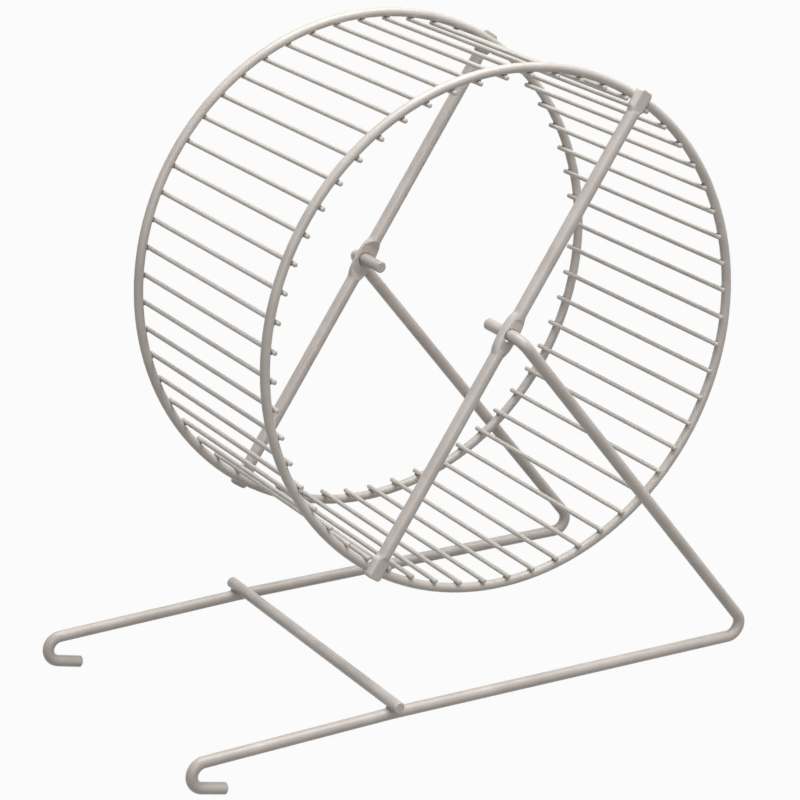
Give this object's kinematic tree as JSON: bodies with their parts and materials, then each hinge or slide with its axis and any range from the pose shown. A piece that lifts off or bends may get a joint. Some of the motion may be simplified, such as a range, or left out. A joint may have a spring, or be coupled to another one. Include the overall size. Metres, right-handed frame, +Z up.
{
  "type": "rodent exercise wheel",
  "caption": "Wire rodent exercise wheel: an open drum of thin rungs between round rims, hung by its spokes on the stub axles of a bent-rod floor stand with hooked feet.",
  "frame": {"origin": "on the floor, under the middle of the whole object's bounding box", "axes": "+Z up, +Y along the wheel's axle, from the left side rod to the right one, +X from the hooked ends of the feet towards the rear bends"},
  "size_m": [0.2446, 0.135, 0.244],
  "materials": {
    "coated_steel": "satin"
  },
  "bodies": {
    "stand": {"left_side_rod": "coated_steel", "right_side_rod": "coated_steel", "crossbar": "coated_steel"},
    "wheel": {"left_rim": "coated_steel", "right_rim": "coated_steel", "left_spoke": "coated_steel", "right_spoke": "coated_steel", "rung_pair_01": "coated_steel", "rung_pair_02": "coated_steel", "rung_pair_03": "coated_steel", "rung_pair_04": "coated_steel", "rung_pair_05": "coated_steel", "rung_pair_06": "coated_steel", "rung_pair_07": "coated_steel", "rung_pair_08": "coated_steel", "rung_pair_09": "coated_steel", "rung_pair_10": "coated_steel", "rung_pair_11": "coated_steel", "rung_pair_12": "coated_steel", "rung_pair_13": "coated_steel", "rung_pair_14": "coated_steel", "rung_pair_15": "coated_steel", "rung_pair_16": "coated_steel", "rung_pair_17": "coated_steel", "rung_pair_18": "coated_steel", "rung_pair_19": "coated_steel", "rung_pair_20": "coated_steel", "rung_pair_21": "coated_steel", "rung_pair_22": "coated_steel", "rung_pair_23": "coated_steel", "rung_pair_24": "coated_steel", "rung_pair_25": "coated_steel", "rung_pair_26": "coated_steel", "rung_pair_27": "coated_steel", "rung_pair_28": "coated_steel"}
  },
  "joints": [
    {"name": "wheel_spin", "type": "hinge", "parent": "stand", "child": "wheel", "pos_m": [0.0223, 0.0008, 0.144], "axis": [0, 1, 0], "continuous": true}
  ]
}
